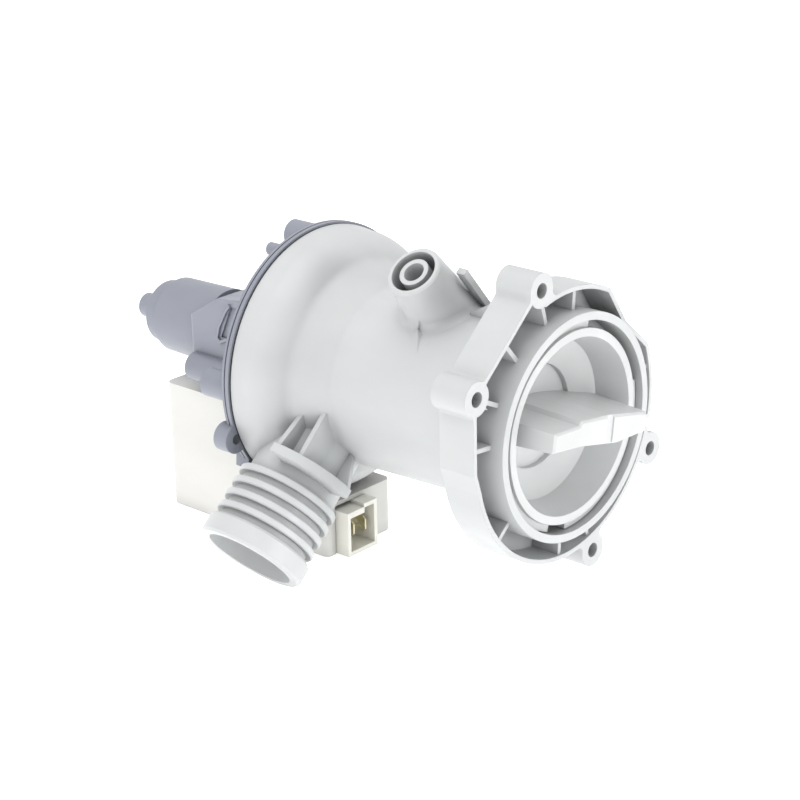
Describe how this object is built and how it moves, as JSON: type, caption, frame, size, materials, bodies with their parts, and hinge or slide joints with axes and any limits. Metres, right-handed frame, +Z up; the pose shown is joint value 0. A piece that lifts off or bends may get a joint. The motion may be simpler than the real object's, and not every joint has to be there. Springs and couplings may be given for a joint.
{
  "type": "washer drain pump",
  "caption": "Washer drain pump with a moulded housing, a filter insert that turns and pulls out, a ribbed hose connector, a small spigot and a synchronous motor.",
  "frame": {"origin": "on the pump axis, in the plane of the mounting bosses' front faces", "axes": "+Y along the pump axis from the filter cap to the motor's end, +Z up and away from the coil, +X to the right as seen from the filter cap"},
  "size_m": [0.1277, 0.2244, 0.1292],
  "materials": {
    "housing_plastic": "satin, pale grey white",
    "cap_plastic": "satin, pale grey white",
    "flange_plastic": "satin, bluish grey",
    "impeller_plastic": "satin, dark grey",
    "cover_plastic": "satin, warm white",
    "block_plastic": "satin, ivory",
    "bobbin_plastic": "matte",
    "protector_case": "matte black",
    "copper_wire": "enamelled copper",
    "blade_brass": "tinned brass",
    "screw_steel": "zinc plated",
    "iron_sheets": "stacked sheet iron",
    "rivet_steel": "plain",
    "shaft_steel": "ground",
    "magnet_ferrite": "dark ferrite",
    "disc_plastic": "matte",
    "bearing_bronze": "sintered",
    "seal_rubber": "matte black"
  },
  "bodies": {
    "housing": {"pump_housing": "housing_plastic", "housing_gasket": "seal_rubber", "impeller_chamber_cover": "housing_plastic", "motor_flange": "flange_plastic", "flange_screws": "screw_steel", "bearing_holder": "flange_plastic", "bearing_holder_seal": "seal_rubber", "shaft_lip_seal": "seal_rubber", "front_bearing": "bearing_bronze", "rear_bearing": "bearing_bronze", "rear_bearing_cushion": "seal_rubber", "stator_poles": "iron_sheets", "stator_yoke": "iron_sheets", "core_rivets": "rivet_steel", "left_coil_bobbin": "bobbin_plastic", "right_coil_bobbin": "bobbin_plastic", "left_coil_winding": "copper_wire", "right_coil_winding": "copper_wire", "coil_cover": "cover_plastic", "thermal_protector": "protector_case", "terminal_block": "block_plastic", "left_terminal_blade": "blade_brass", "right_terminal_blade": "blade_brass"},
    "filter": {"filter_basket": "cap_plastic"},
    "cap": {"filter_cap": "cap_plastic", "filter_cap_seal": "seal_rubber"},
    "rotor": {"rotor_shaft": "shaft_steel", "rotor_magnet": "magnet_ferrite", "magnet_end_discs": "disc_plastic", "clutch_dog": "impeller_plastic"},
    "impeller": {"impeller": "impeller_plastic", "impeller_hub_cap": "impeller_plastic", "clutch_cushions": "seal_rubber"}
  },
  "joints": [
    {"name": "filter_slide", "type": "slide", "parent": "housing", "child": "filter", "axis": [0, -1, 0], "range_m": [0, 0.085]},
    {"name": "cap_turn", "type": "hinge", "parent": "filter", "child": "cap", "pos_m": [0, 0, 0], "axis": [0, -1, 0], "range_deg": [0, 90]},
    {"name": "rotor_spin", "type": "hinge", "parent": "housing", "child": "rotor", "pos_m": [0, 0.15, 0], "axis": [0, 1, 0], "continuous": true},
    {"name": "impeller_play", "type": "hinge", "parent": "rotor", "child": "impeller", "pos_m": [0, 0.1, 0], "axis": [0, 1, 0], "range_deg": [0, 170]}
  ]
}
